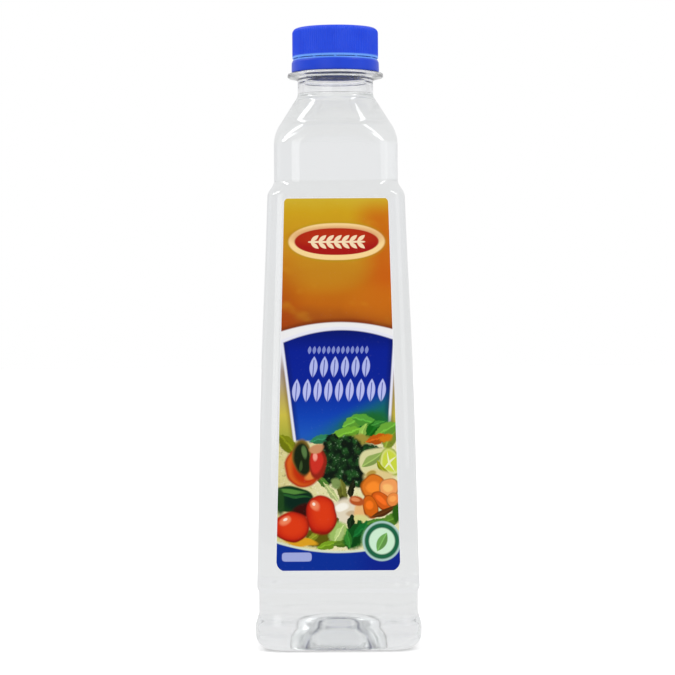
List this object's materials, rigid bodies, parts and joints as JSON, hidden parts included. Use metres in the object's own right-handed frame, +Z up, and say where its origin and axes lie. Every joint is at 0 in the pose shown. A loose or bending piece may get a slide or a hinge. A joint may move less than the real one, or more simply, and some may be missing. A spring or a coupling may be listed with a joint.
{
  "type": "vinegar bottle",
  "caption": "Filled, sealed square PET bottle of clear vinegar, tapered, with a rounded shoulder, a screw cap with a tamper band and a label on its front.",
  "frame": {"origin": "middle of the base, at the level that the bottle stands on", "axes": "+Z up along the bottle's axis to the cap, the label faces -Y, +X to the right as the label is read"},
  "size_m": [0.0562, 0.0562, 0.2121],
  "materials": {
    "clear_pet": "clear blown PET, glossy",
    "cap_plastic": "moulded blue polypropylene, satin gloss",
    "vinegar": "clear colourless liquid",
    "label_film": "printed self-adhesive film, satin gloss, white on its back"
  },
  "bodies": {
    "root": {"bottle": "clear_pet", "cap": "cap_plastic", "tamper_band": "cap_plastic", "vinegar": "vinegar", "label": "label_film"}
  },
  "joints": []
}
